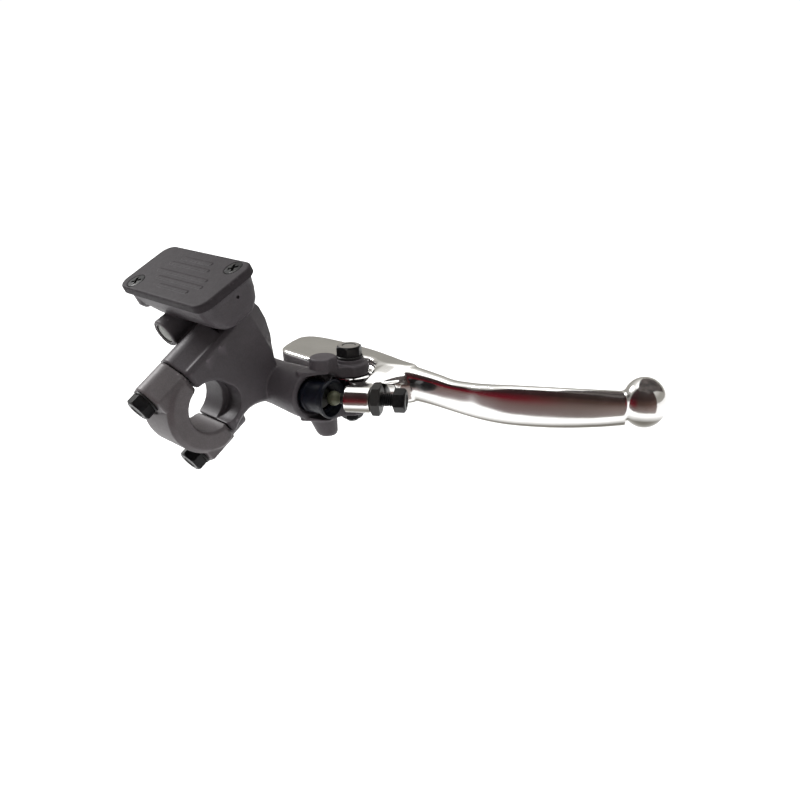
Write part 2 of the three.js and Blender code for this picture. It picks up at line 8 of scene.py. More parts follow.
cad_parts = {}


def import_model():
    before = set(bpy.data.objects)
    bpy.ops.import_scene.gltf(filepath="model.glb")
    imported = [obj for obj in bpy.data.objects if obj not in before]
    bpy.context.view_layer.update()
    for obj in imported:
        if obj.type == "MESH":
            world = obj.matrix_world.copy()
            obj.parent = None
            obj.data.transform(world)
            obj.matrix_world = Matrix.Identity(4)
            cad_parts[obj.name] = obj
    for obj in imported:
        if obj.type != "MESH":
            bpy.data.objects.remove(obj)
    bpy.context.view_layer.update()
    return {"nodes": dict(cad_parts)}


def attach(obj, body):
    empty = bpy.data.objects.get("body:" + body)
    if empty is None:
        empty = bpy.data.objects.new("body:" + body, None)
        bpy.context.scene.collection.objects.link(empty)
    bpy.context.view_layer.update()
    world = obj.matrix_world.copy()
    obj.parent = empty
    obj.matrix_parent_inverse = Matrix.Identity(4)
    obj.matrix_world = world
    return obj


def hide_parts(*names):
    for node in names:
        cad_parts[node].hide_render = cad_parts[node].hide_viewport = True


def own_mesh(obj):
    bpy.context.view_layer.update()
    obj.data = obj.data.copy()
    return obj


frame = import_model()

# ---- dimensions, millimetres ---------------------------------------------------------------
MM = 0.001
BAR_BORE_R = 11.15
CLAMP_TILT = math.radians(33)
CLAMP_HALF_W = 12
ARM_FACE, HOLDER_FACE = 0.2, -0.25      # the two sides of the clamp's split
HOLDER_R = 20.5
BOLT_T = 18                             # clamp bolts above and below the bar
SEAT_N = {1: 16, -1: 14.4}              # depth of their seats: upper, lower
BOLT_AF, BOLT_R, BOLT_HOLE_R = 10, 3.0, 3.3
BOLT_SEAT_R = 7.0
CAP_TILT = math.radians(25.5)
CAP_CENTRE = (-11.2, 6.2, 51.9)
CAP_L, CAP_W, CAP_T = 66, 31.2, 3.8
CAP_SCREWS = [(-24, -10.2), (24, 10.2)]
CYL_Y = 37.5
CYL_R, MOUTH_R, PISTON_BORE_R = 9.9, 10.9, 6.35
PORT_X, MOUTH_X = -38, 31.5             # the cylinder's two ends: outlet, piston side
PIVOT = (34.5, 56.2)
PIVOT_HOLE_R = 3.15
EAR_IN, EAR_OUT, EAR_R = 6.3, 11.2, 8.4
PIVOT_SEAT, NUT_SEAT = 13, -10.4
NUT_POCKET_R = 6.6
LUMP = (33.0, 42.8)                     # boss beside the boot, on both ears
ADJ_A = math.radians(35.6)
ADJ_P = (45.4, 43.4)
GLASS_X = -16.8
HUB_TOP, HUB_BOTTOM = 10, -7.2
SPRING_TURNS, SPRING_START, SPRING_LENGTH = 7, -28.8, 30.7
SPRING_R, SPRING_WIRE_R = 4.4, 0.58
BALL_CENTRE, BALL_R, BALL_WIDTH = (151.0, 104.2, 7.3), 10, 0.88


def V(x, y, z=0.0):
    return Vector((x, y, z))


X, Y, Z = V(1, 0, 0), V(0, 1, 0), V(0, 0, 1)
CN = V(0, math.cos(CLAMP_TILT), math.sin(CLAMP_TILT))
CT = V(0, -math.sin(CLAMP_TILT), math.cos(CLAMP_TILT))
RY = V(0, math.cos(CAP_TILT), math.sin(CAP_TILT))
RZ = V(0, -math.sin(CAP_TILT), math.cos(CAP_TILT))
ADJ = V(math.cos(ADJ_A), math.sin(ADJ_A), 0)


def axes(origin, ex, ey):
    """Frame at origin with local x along ex and local y along ey."""
    ez = ex.cross(ey)
    rows = Matrix((ex, ey, ez)).transposed().to_4x4()
    return Matrix.Translation(origin) @ rows


def at_clamp(x, n, t):
    """Point along the bar, out from it on the body's side, and up the clamp's split."""
    return V(x, 0, 0) + CN * n + CT * t


def at_lid(x, y, z):
    return V(*CAP_CENTRE) + X * x + RY * y + RZ * z


def at_adj(s):
    """Point on the adjuster's axis, from its tip outward."""
    return V(ADJ_P[0], ADJ_P[1], 0) + ADJ * s


GLASS_OFFSET = GLASS_X - CAP_CENTRE[0]
GLASS_FACE = at_lid(GLASS_OFFSET, -19, -18.8)
CLAMP_PROFILE = axes(V(0, 0, 0), CN, CT)
CLAMP_PLAN = axes(V(0, 0, 0), CT, X)
LID = axes(V(*CAP_CENTRE), X, RY)
FLAT = Matrix.Identity(4)
ON_CYL = V(0, CYL_Y, 0)


# ---- mesh helpers --------------------------------------------------------------------------
def mesh_object(points, faces):
    """Object from points in millimetres, with its normals outward."""
    mesh = bpy.data.meshes.new("part")
    bm = bmesh.new()
    verts = [bm.verts.new(Vector(p) * MM) for p in points]
    for f in faces:
        bm.faces.new([verts[i] for i in f])
    bmesh.ops.recalc_face_normals(bm, faces=bm.faces)
    bm.to_mesh(mesh)
    bm.free()
    obj = bpy.data.objects.new("part", mesh)
    bpy.context.scene.collection.objects.link(obj)
    return obj


def tube_faces(rings, count, closed):
    """Quads between rings of count points; with end caps unless the rings close on themselves."""
    faces = []
    last = rings if closed else rings - 1
    for k in range(last):
        a, b = k * count, ((k + 1) % rings) * count
        faces += [(a + i, a + (i + 1) % count, b + (i + 1) % count, b + i) for i in range(count)]
    if not closed:
        faces.append(tuple(range(count)))
        faces.append(tuple(range((rings - 1) * count, rings * count)))
    return faces


def loft(rings, closed=False):
    points = [p for ring in rings for p in ring]
    return mesh_object(points, tube_faces(len(rings), len(rings[0]), closed))


def square_to(axis):
    """Two directions at right angles to the axis and to each other."""
    side = (Z if abs(axis.z) < 0.9 else X).cross(axis).normalized()
    return side, axis.cross(side)


def turned(profile, origin, axis, n=72):
    """Lathe of (radius, distance) pairs that run from axis to axis, or close on themselves."""
    side, other = square_to(axis)
    loop = profile[0] == profile[-1]
    pairs = profile[:-1] if loop else profile
    points, rows = [], []
    for r, h in pairs:
        base = origin + axis * h
        if r < 1e-6:
            points.append(base)
            rows.append([len(points) - 1])
            continue
        rows.append(list(range(len(points), len(points) + n)))
        for i in range(n):
            a = 2 * math.pi * i / n
            points.append(base + side * (r * math.cos(a)) + other * (r * math.sin(a)))
    faces = []
    for a, b in zip(rows, rows[1:] + (rows[:1] if loop else [])):
        for i in range(n):
            j = (i + 1) % n
            if len(a) == 1 and len(b) == 1:
                break
            if len(a) == 1:
                faces.append((a[0], b[j], b[i]))
            elif len(b) == 1:
                faces.append((a[i], a[j], b[0]))
            else:
                faces.append((a[i], a[j], b[j], b[i]))
    return mesh_object(points, faces)


def bar(start, end, r, n=64, end_r=None):
    """Round bar, or a cone when its end has a radius of its own."""
    axis = (end - start).normalized()
    length = (end - start).length
    end_r = r if end_r is None else end_r
    return turned([(0, 0), (r, 0), (end_r, length), (0, length)], start, axis, n)


def prism(outline, z0, z1, matrix):
    low = [matrix @ V(a, b, z0) for a, b in outline]
    high = [matrix @ V(a, b, z1) for a, b in outline]
    return loft([low, high])


def arc(cx, cy, r, a0, a1, n):
    """Points of an arc between two angles in degrees, both ends included."""
    return [(cx + r * math.cos(math.radians(a0 + (a1 - a0) * i / n)),
             cy + r * math.sin(math.radians(a0 + (a1 - a0) * i / n))) for i in range(n + 1)]


def circle(cx, cy, r, n):
    return arc(cx, cy, r, 0, 360, n)[:n]


def rounded_rect(x0, x1, y0, y1, r, n=8):
    return (arc(x1 - r, y0 + r, r, -90, 0, n) + arc(x1 - r, y1 - r, r, 0, 90, n)
            + arc(x0 + r, y1 - r, r, 90, 180, n) + arc(x0 + r, y0 + r, r, 180, 270, n))


def hull(points):
    """Convex outline around flat points."""
    pts = sorted(set(points))

    def half(sequence):
        chain = []
        for p in sequence:
            while len(chain) > 1:
                (ax, ay), (bx, by) = chain[-2], chain[-1]
                if (bx - ax) * (p[1] - ay) - (by - ay) * (p[0] - ax) > 1e-9:
                    break
                chain.pop()
            chain.append(p)
        return chain[:-1]
    return half(pts) + half(pts[::-1])


def round_corners(outline, r, steps=4):
    """Outline with each corner turned into a short arc-like curve of reach r."""
    out = []
    for i, p in enumerate(outline):
        p, a, b = Vector(p), Vector(outline[i - 1]), Vector(outline[(i + 1) % len(outline)])
        da, db = a - p, b - p
        ra, rb = min(r, da.length * 0.45), min(r, db.length * 0.45)
        s, e = p + da.normalized() * ra, p + db.normalized() * rb
        for k in range(steps + 1):
            t = k / steps
            q = s * (1 - t) ** 2 + p * (2 * t * (1 - t)) + e * t ** 2
            out.append((q.x, q.y))
    return out


def bake(obj):
    """Applies every modifier to the object's mesh."""
    graph = bpy.context.evaluated_depsgraph_get()
    mesh = bpy.data.meshes.new_from_object(obj.evaluated_get(graph))
    old = obj.data
    obj.modifiers.clear()
    obj.data = mesh
    mesh.name = obj.name
    bpy.data.meshes.remove(old)
    return obj


def boolean(obj, others, operation):
    for other in others:
        m = obj.modifiers.new("boolean", "BOOLEAN")
        m.operation, m.solver, m.object = operation, "MANIFOLD", other
    bake(obj)
    for other in others:
        bpy.data.objects.remove(other)
    return obj


def union(first, *others):
    return boolean(first, others, "UNION")


def cut(obj, *others):
    boolean(obj, others, "DIFFERENCE")


def bevel(obj, width, segments=1, angle=60):
    m = obj.modifiers.new("bevel", "BEVEL")
    m.width, m.segments = width * MM, segments
    m.limit_method, m.angle_limit = "ANGLE", math.radians(angle)
    return bake(obj)


def soften(obj, voxel, passes, faces=None):
    """Cast look: one skin over the joined shapes, with its edges and inner corners rounded."""
    m = obj.modifiers.new("skin", "REMESH")
    m.mode, m.voxel_size, m.use_smooth_shade = "VOXEL", voxel * MM, True
    s = obj.modifiers.new("round", "SMOOTH")
    s.factor, s.iterations = 0.5, passes
    bake(obj)
    if faces and len(obj.data.polygons) > faces:
        d = obj.modifiers.new("thin", "DECIMATE")
        d.ratio = faces / (2 * len(obj.data.polygons))
        bake(obj)


def shade(obj, angle):
    """Smooth shading below the given angle; normals follow the larger faces."""
    obj.data.polygons.foreach_set("use_smooth", [True] * len(obj.data.polygons))
    obj.data.set_sharp_from_angle(angle=math.radians(angle))
    m = obj.modifiers.new("normals", "WEIGHTED_NORMAL")
    m.keep_sharp, m.weight = True, 80
    bake(obj)


def catmull(rows, steps):
    """Smooth rows of numbers between the given rows."""
    out = []
    for i in range(len(rows) - 1):
        p0, p1, p2 = rows[max(i - 1, 0)], rows[i], rows[i + 1]
        p3 = rows[min(i + 2, len(rows) - 1)]
        for k in range(steps):
            t = k / steps
            out.append([0.5 * (2 * b + (c - a) * t + (2 * a - 5 * b + 4 * c - d) * t * t
                               + (3 * b - a - 3 * c + d) * t ** 3)
                        for a, b, c, d in zip(p0, p1, p2, p3)])
    out.append(list(rows[-1]))
    return out


# ---- finishes ------------------------------------------------------------------------------
def fill_ramp(ramp, stops):
    """Stops are (position, colour); a colour of one number is a grey."""
    elements = ramp.elements
    while len(elements) < len(stops):
        elements.new(0.5)
    for element, (position, colour) in zip(elements, stops):
        element.position = position
        element.color = (*colour, 1) if len(colour) == 3 else (colour[0],) * 3 + (1,)


class Shader:
    """A principled material with short calls for procedural detail."""

    def __init__(self, name, base, rough, metal, **values):
        self.material = bpy.data.materials.new(name)
        self.material.use_nodes = True
        tree = self.material.node_tree
        self.nodes, self.links = tree.nodes, tree.links
        self.bsdf = self.nodes["Principled BSDF"]
        self.bsdf.inputs["Base Color"].default_value = (*base, 1)
        self.bsdf.inputs["Roughness"].default_value = rough
        self.bsdf.inputs["Metallic"].default_value = metal
        for key, value in values.items():
            self.bsdf.inputs[key.replace("_", " ")].default_value = value
        self.coords = self.nodes.new("ShaderNodeTexCoord").outputs["Object"]
        self.height = None

    def new(self, kind, **values):
        node = self.nodes.new(kind)
        for key, value in values.items():
            setattr(node, key, value)
        return node

    def noise(self, size_mm, detail=4, stretch=(1, 1, 1), rough=0.55):
        scale = self.new("ShaderNodeMapping")
        scale.inputs["Scale"].default_value = stretch
        self.links.new(self.coords, scale.inputs["Vector"])
        node = self.new("ShaderNodeTexNoise")
        node.inputs["Scale"].default_value = 1 / (size_mm * MM)
        node.inputs["Detail"].default_value = detail
        node.inputs["Roughness"].default_value = rough
        self.links.new(scale.outputs["Vector"], node.inputs["Vector"])
        return node.outputs["Fac"]

    def ramp(self, value, stops):
        node = self.new("ShaderNodeValToRGB")
        fill_ramp(node.color_ramp, stops)
        self.links.new(value, node.inputs["Fac"])
        return node.outputs["Color"]

    def part(self, vector, axis):
        node = self.new("ShaderNodeSeparateXYZ")
        self.links.new(vector, node.inputs["Vector"])
        return node.outputs[axis]

    def normal_z(self):
        return self.part(self.new("ShaderNodeNewGeometry").outputs["Normal"], "Z")

    def span(self, value, start, end):
        """The value as 0 at start and 1 at end."""
        node = self.new("ShaderNodeMapRange")
        node.inputs["From Min"].default_value = start
        node.inputs["From Max"].default_value = end
        self.links.new(value, node.inputs["Value"])
        return node.outputs["Result"]

    def mix(self, factor, a, b):
        node = self.new("ShaderNodeMix", data_type="RGBA")
        for key, value in (("Factor", factor), ("A", a), ("B", b)):
            socket = node.inputs[key]
            if isinstance(value, bpy.types.NodeSocket):
                self.links.new(value, socket)
            else:
                socket.default_value = value
        return node.outputs["Result"]

    def colour(self, socket):
        self.links.new(socket, self.bsdf.inputs["Base Color"])

    def roughness(self, value, low, high):
        node = self.new("ShaderNodeMapRange")
        node.inputs["To Min"].default_value = low
        node.inputs["To Max"].default_value = high
        self.links.new(value, node.inputs["Value"])
        self.links.new(node.outputs["Result"], self.bsdf.inputs["Roughness"])

    def bump(self, value, depth_mm, strength=1.0):
        node = self.new("ShaderNodeBump")
        node.inputs["Distance"].default_value = depth_mm * MM
        node.inputs["Strength"].default_value = strength
        self.links.new(value, node.inputs["Height"])
        if self.height is not None:
            self.links.new(self.height, node.inputs["Normal"])
        self.height = node.outputs["Normal"]
        self.links.new(self.height, self.bsdf.inputs["Normal"])

    def edges(self, low, high):
        geometry = self.new("ShaderNodeNewGeometry")
        return self.ramp(geometry.outputs["Pointiness"], [(low, (0,)), (high, (1,))])


def scaled(colour, k):
    return tuple(min(1, c * k) for c in colour)


def cast_paint(name, base, rough=0.5, shine=0.35, metal=0.1):
    s = Shader(name, base, rough, metal, Specular_IOR_Level=shine)
    patches = s.ramp(s.noise(9, 3), [(0.35, scaled(base, 0.86)), (0.68, scaled(base, 1.12))])
    grains = s.noise(0.45, 5, rough=0.6)
    speck = s.ramp(grains, [(0.4, scaled(base, 0.72)), (0.62, scaled(base, 1.25))])
    # Convex edges painted lighter: partly real paint wear, partly a painted highlight on rounded
    # edges and chamfers
    worn_and_highlight_edge = (*scaled(base, 1.75), 1)
    s.colour(s.mix(s.edges(0.515, 0.60), s.mix(0.35, patches, speck), worn_and_highlight_edge))
    s.roughness(s.noise(1.6, 4), rough - 0.07, rough + 0.1)
    s.bump(s.noise(1.8, 3), 0.10, 0.5)
    s.bump(grains, 0.045, 0.6)
    return s.material


def black_steel(name, painted_top_light=False):
    base = (0.006, 0.006, 0.007)
    s = Shader(name, base, 0.4, 0.3, Specular_IOR_Level=0.14)
    film = s.ramp(s.noise(1.2, 5), [(0.35, scaled(base, 0.6)), (0.7, scaled(base, 1.8))])
    tone = s.mix(s.edges(0.53, 0.62), film, (0.03, 0.029, 0.028, 1))
    # Upward-facing faces painted lighter: a painted highlight standing for the light from above
    if painted_top_light:
        top = s.ramp(s.normal_z(), [(0.86, (0,)), (0.97, (1,))])
        tone = s.mix(top, tone, (0.20, 0.19, 0.18, 1))
    s.colour(tone)
    s.roughness(s.noise(0.7, 4), 0.28, 0.5)
    s.bump(s.noise(0.25, 3), 0.012, 0.6)
    return s.material


def polished():
    base = (0.83, 0.82, 0.81)
    s = Shader("polished_aluminium", base, 0.12, 1.0)
    haze = s.ramp(s.noise(14, 3), [(0.3, scaled(base, 0.93)), (0.7, scaled(base, 1.05))])
    # Downward-facing faces painted dark: a painted reflection and shade that gives the lever's grey
    # lower edge
    painted_underside_shade = s.span(s.normal_z(), -0.26, -0.50)
    s.colour(s.mix(painted_underside_shade, haze, (0.16, 0.15, 0.13, 1)))
    lines = s.noise(0.35, 3, stretch=(0.04, 0.5, 1.0))
    s.roughness(s.noise(5, 4, stretch=(0.3, 1, 1)), 0.07, 0.2)
    s.bump(lines, 0.004, 0.35)
    s.bump(s.noise(11, 2), 0.12, 0.25)
    return s.material


def machined(name, base, rough, metal=1.0):
    s = Shader(name, base, rough, metal)
    s.colour(s.ramp(s.noise(2.5, 4), [(0.3, scaled(base, 0.82)), (0.7, scaled(base, 1.1))]))
    s.roughness(s.noise(1.0, 4), rough - 0.08, rough + 0.12)
    s.bump(s.noise(0.3, 3, stretch=(1, 0.2, 0.2)), 0.01, 0.5)
    return s.material


def rubber():
    base = (0.002, 0.003, 0.007)
    s = Shader("black_rubber", base, 0.5, 0.0, Specular_IOR_Level=0.25)
    s.colour(s.ramp(s.noise(3, 4), [(0.3, scaled(base, 0.7)), (0.7, scaled(base, 1.7))]))
    s.roughness(s.noise(1.5, 4), 0.33, 0.55)
    s.bump(s.noise(0.3, 4), 0.015, 0.5)
    return s.material


def plastic():
    base = (0.03, 0.03, 0.032)
    s = Shader("dark_plastic", base, 0.55, 0.0)
    s.colour(s.ramp(s.noise(2, 3), [(0.3, scaled(base, 0.8)), (0.7, scaled(base, 1.3))]))
    s.bump(s.noise(0.3, 3), 0.02, 0.4)
    return s.material


def window():
    s = Shader("sight_window", (0.12, 0.12, 0.105), 0.4, 0.0,
               Transmission_Weight=0.15, IOR=1.49)
    s.colour(s.ramp(s.noise(4, 3), [(0.3, (0.085, 0.09, 0.075)), (0.7, (0.14, 0.145, 0.125))]))
    s.roughness(s.noise(3, 3), 0.3, 0.5)
    return s.material


CAST = cast_paint("grey_cast_paint", (0.054, 0.047, 0.053))
# lighter copy of the cast paint for the clamp holder: painted light, the holder standing in full
# light while the body's arm lies in shade
HOLDER_LIT_PAINT = cast_paint("cast_paint_lit_copy", (0.078, 0.068, 0.072), 0.46)
LID_PAINT = cast_paint("grey_lid_paint", (0.026, 0.022, 0.025), 0.6, 0.12, 0.0)
BLACK = black_steel("black_oxide_steel")
# black steel with a painted highlight on its top faces, used for the pivot bolt
TOP_LIT_BLACK = black_steel("black_steel_painted_top_light", True)
ANODISED = machined("anodised_piston", (0.02, 0.02, 0.016), 0.5, 0.3)
POLISHED = polished()
RUBBER = rubber()
ZINC = machined("zinc_plate", (0.085, 0.088, 0.055), 0.45, 0.4)
ALLOY = machined("machined_alloy", (0.55, 0.56, 0.57), 0.35)
DULL_ALLOY = machined("dull_alloy", (0.16, 0.155, 0.16), 0.5, 0.3)
BRASS = machined("brass", (0.52, 0.38, 0.16), 0.35)
WIRE = machined("spring_wire", (0.32, 0.33, 0.34), 0.35)
PLASTIC = plastic()
WINDOW = window()
FLUID = machined("sight_backing", (0.30, 0.34, 0.24), 0.6, 0.0)

# pieces shown with the CAD's own shape
CAD_FINISH = {
    "diaphragm": RUBBER, "diaphragm_plate": PLASTIC, "port_cover": ALLOY,
    "primary_cup": RUBBER, "secondary_cup": RUBBER, "snap_ring": WIRE,
    "stop_washer": ZINC, "pivot_bushing": BRASS,
}
for node, finish in CAD_FINISH.items():
    data = frame["nodes"][node].data
    data.materials.clear()
    data.materials.append(finish)


def place(obj, name, finish, slot, *nodes, body="base", angle=35):
    """Finishes a piece and hands it to its body."""
    obj.name = obj.data.name = name
    obj.data.materials.clear()
    obj.data.materials.append(finish)
    shade(obj, angle)
    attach(obj, body)
    if nodes:
        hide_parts(*nodes)


# ---- body casting --------------------------------------------------------------------------
def lid_ring(row):
    z, x0, x1, y0, y1, r = row
    return [at_lid(a, b, z) for a, b in rounded_rect(x0, x1, y0, y1, r)]


# level, then the rectangle's sides and corner radius, in the lid's frame
RESERVOIR = [
    [-18.6, -6, 28.6, -5.2, 6, 2.5], [-17, -11.5, 30.2, -8.6, 8.6, 3.5],
    [-14, -17.5, 30.9, -11.6, 11.2, 4], [-9.5, -24.5, 31.1, -13.4, 13, 4.5],
    [-6.4, -28.3, 31.2, -14.1, 13.8, 5], [-CAP_T - 0.1, -31.2, 31.6, -14.5, 14.4, 5]]
CAVITY = [
    [-15.8, -8, 25.5, -4.6, 4.6, 2.5], [-13.4, -13, 27.2, -8, 7.6, 3],
    [-9.5, -19.5, 28, -9.8, 9.4, 3], [-6, -24.5, 28.3, -10.8, 10.4, 3],
    [-CAP_T + 1, -25.5, 28.4, -10.8, 10.8, 3]]
BARREL = [
    (0, 0), (9.2, 0), (10.4, 1.2), (10.4, 9), (CYL_R, 10.5), (CYL_R, 46), (MOUTH_R, 63),
    (MOUTH_R, MOUTH_X - PORT_X - 0.5), (MOUTH_R - 0.5, MOUTH_X - PORT_X), (0, MOUTH_X - PORT_X)]
ARM = [
    (0.2, -18.6), (4.5, -16.2), (9, -15.2), (13.5, -15.4), (18, -17.6), (23, -22), (31, -22),
    (33.6, -12), (36.1, -2.7), (36.8, 6.8), (37.6, 19.1), (36, 22.5), (33, 23), (30, 20), (0.2, 20)]
WEB_SIDE = [
    (30, -10), (34.2, -9.5), (36.1, -2.7), (36.6, 3), (36.8, 6.8), (37.4, 13), (37.6, 19.1),
    (35.5, 22), (30, 22)]
WEB_FRONT = [
    (30, -12), (35.4, -11), (38.9, -3.6), (41.6, 1), (44, 8.2), (44.7, 14.5), (43.6, 20.5),
    (39, 25.5), (30, 24)]
WEB = ((-11.9, WEB_SIDE), (-8.3, WEB_FRONT), (8.3, WEB_FRONT), (11.9, WEB_SIDE))
LUMP_TAPER = (                          # level, shift in x and y, radius
    (-9.4, -1.9, -0.9, 6.6), (-17.8, -0.5, 0.3, 4.7), (-19.2, -0.3, 0.5, 3.9))
LEVER_SLOT = (
    [(-45, 48.2), (27, 48.2), (27.6, 49.6)] + arc(*PIVOT, 9.4, 223, 262, 12)
    + [(MOUTH_X + 0.02, 46.4), (MOUTH_X + 0.02, 20), (70, 20), (70, 90), (-45, 90)])


def upper_lug(sign):
    top, root = BOLT_T + 1.4, BOLT_T - 5
    points = circle(BOLT_T, 0, 6.5, 40) + [(top, 10.2), (top, -10.2), (root, 10.6), (root, -10.6)]
    return hull([(sign * t, x) for t, x in points])


def lower_lug():
    return hull(circle(-BOLT_T, 0, 6.3, 40) + [(-11, 8), (-11, -8)])


def ear_plan(*root):
    return hull(circle(*PIVOT, EAR_R, 64) + circle(*LUMP, 6.8, 48) + list(root))


def arm_shapes():
    outline = ARM[:1] + round_corners(ARM, 3)[5:-5] + ARM[-1:]
    arm = prism(outline, -CLAMP_HALF_W, CLAMP_HALF_W, CLAMP_PROFILE)
    web = loft([[at_clamp(x, n, t) for n, t in side] for x, side in WEB])
    upper = prism(upper_lug(1), ARM_FACE, 23.5, CLAMP_PLAN)
    lower = prism(lower_lug(), ARM_FACE, 10, CLAMP_PLAN)
    return [bevel(arm, 1.9), web, bevel(upper, 0.6), bevel(lower, 0.6)]


def reservoir_shapes():
    tank = loft([lid_ring(row) for row in RESERVOIR])
    column = [(0, 0), (2.6, 0), (4.2, 2.4), (4.2, 8.5), (0, 8.5)]
    columns = [turned(column, at_lid(x, y, -12.6), RZ, 48) for x, y in CAP_SCREWS]
    boss = [(0, 0), (6.0, 0), (6.6, 0.6), (6.6, 19), (0, 19)]
    return [tank, *columns, turned(boss, GLASS_FACE, RY, 72)]


def ear_shapes():
    upper = prism(ear_plan((26.5, 37.5), (26.5, 33), (29.5, 31.3)), 0, EAR_OUT, FLAT)
    lower = prism(ear_plan((25.5, 36), (29, 31.5)), -EAR_OUT, 0.8, FLAT)
    seat = bar(V(*PIVOT, EAR_OUT - 1), V(*PIVOT, PIVOT_SEAT), 6.6, 64, 6.2)
    knob = [(0, 0), (6.1, 0), (6.0, 5.8), (5.4, 6.6), (0, 6.7)]
    stem = [[V(x, y, z) for x, y in circle(LUMP[0] + dx, LUMP[1] + dy, r, 48)]
            for z, dx, dy, r in LUMP_TAPER]
    return [bevel(upper, 0.5), bevel(lower, 0.5), seat,
            turned(knob, V(*LUMP, EAR_OUT - 1.5), Z, 64), loft(stem)]


def handlebar_bore():
    """Cutters for the handlebar's bore and the chamfer at each of its ends."""
    reach, ends = CLAMP_HALF_W + 8, []
    for s in (1, -1):
        inner, outer = s * (CLAMP_HALF_W - 0.8), s * (CLAMP_HALF_W + 0.2)
        ends.append(bar(at_clamp(inner, 0, 0), at_clamp(outer, 0, 0),
                        BAR_BORE_R, 96, BAR_BORE_R + 1))
    return [bar(at_clamp(-reach, 0, 0), at_clamp(reach, 0, 0), BAR_BORE_R, 96), *ends]


def cylinder_cutters():
    outlet_r, boot_seat_r, lip_r, tip_room_r, swing_r = 4.2, 7.4, 8.4, 9.8, 10.2

    def along(x0, x1, r):
        return bar(V(x0, CYL_Y, 0), V(x1, CYL_Y, 0), r, 72)
    return [along(-31, MOUTH_X + 1, PISTON_BORE_R),
            along(PORT_X - 1, -30, outlet_r),
            along(MOUTH_X - 5, MOUTH_X + 1, boot_seat_r),
            along(MOUTH_X - 1.2, MOUTH_X + 0.1, lip_r),
            along(MOUTH_X, MOUTH_X + 16, tip_room_r),
            bar(V(35, 38, 0), V(46, 42.6, 0), swing_r, 72)]


def sight_window_cutters():
    """The glass's seat, the tunnel behind it and the passage up into the reservoir."""
    seat_r, tunnel_r, passage_r = 5.3, 4.2, 2.6
    x = GLASS_OFFSET + 1
    return [bar(GLASS_FACE - RY, GLASS_FACE + RY * 1.6, seat_r, 64),
            bar(GLASS_FACE + RY, GLASS_FACE + RY * 15, tunnel_r, 48),
            bar(at_lid(x, -6.5, -18), at_lid(x, -2.5, -9), passage_r, 32)]


def body_cutters():
    boss_room_r, arm_pocket_r = 8, 9
    upper_depth, lower_depth = 14, 8.6
    return [prism(LEVER_SLOT, -EAR_IN, EAR_IN, FLAT),
            bar(V(45.8, 44.6, -20), V(45.8, 44.6, 20), boss_room_r, 72),
            *handlebar_bore(),
            bar(at_clamp(2.5, 4, -3), at_clamp(14, 4, -3), arm_pocket_r, 72),
            bar(at_clamp(0, -1, BOLT_T), at_clamp(0, upper_depth, BOLT_T), BOLT_HOLE_R, 40),
            bar(at_clamp(0, -1, -BOLT_T), at_clamp(0, lower_depth, -BOLT_T), BOLT_HOLE_R, 40),
            loft([lid_ring(row) for row in CAVITY]),
            *sight_window_cutters(),
            *cylinder_cutters(),
            bar(V(*PIVOT, -20), V(*PIVOT, 20), PIVOT_HOLE_R, 48),
            bar(V(*PIVOT, -14), V(*PIVOT, NUT_SEAT), NUT_POCKET_R, 64)]


def body_casting():
    barrel = turned(BARREL, V(PORT_X, CYL_Y, 0), X, 96)
    body = union(barrel, *arm_shapes(), *reservoir_shapes(), *ear_shapes())
    cut(body, *body_cutters())
    soften(body, voxel=0.38, passes=5, faces=180000)
    thread_r, thread_depth, dimple_r = 1.9, 10.5, 0.75
    for x, y in CAP_SCREWS:
        cut(body, bar(at_lid(x, y, 1), at_lid(x, y, -thread_depth), thread_r, 32))
    cut(body, bar(at_lid(30.2, 2.44, -7.84), at_lid(32.5, 2.44, -7.84), dimple_r, 24))
    place(body, "body_shell", CAST, "cast_body", "body_casting")


body_casting()


# ---- clamp holder --------------------------------------------------------------------------
def clamp_holder():
    outline = [(HOLDER_FACE, -19.2)] + arc(0, 0, HOLDER_R, 250, 110, 72) + [(HOLDER_FACE, 20)]
    block = bevel(prism(outline, -CLAMP_HALF_W, CLAMP_HALF_W, CLAMP_PROFILE), 2.0)
    lugs = [bevel(prism(upper_lug(s), -SEAT_N[s], HOLDER_FACE, CLAMP_PLAN), 0.8, 2)
            for s in (1, -1)]
    holder = union(block, *lugs)
    split = prism([(HOLDER_FACE, -40), (10, -40), (10, 40), (HOLDER_FACE, 40)],
                  -30, 30, CLAMP_PROFILE)
    holes, seats = [], []
    for s in (1, -1):
        seat = at_clamp(0, -SEAT_N[s], s * BOLT_T)
        holes.append(bar(at_clamp(0, 2, s * BOLT_T), at_clamp(0, -SEAT_N[s] - 8, s * BOLT_T),
                         BOLT_HOLE_R, 40))
        seats.append(bar(seat, at_clamp(0, -SEAT_N[s] - 9, s * BOLT_T), BOLT_SEAT_R, 64))
    cut(holder, split, *handlebar_bore(), *holes, *seats)
    soften(holder, voxel=0.34, passes=6, faces=70000)
    place(holder, "clamp_holder_shell", HOLDER_LIT_PAINT, "cast_body", "clamp_holder")


clamp_holder()


# ---- lid -----------------------------------------------------------------------------------
def lid_outline(inset, r):
    x, y = CAP_L / 2 - inset, CAP_W / 2 - inset
    return rounded_rect(-x, x, -y, y, r, 12)


# low ribs on top: from x, to x, y
RIBS = [(-13, 10, 9.2), (-17, 13, 5.0), (-19, 19, -0.6), (-14, 21, -4.8), (-7, 16, -9.0)]


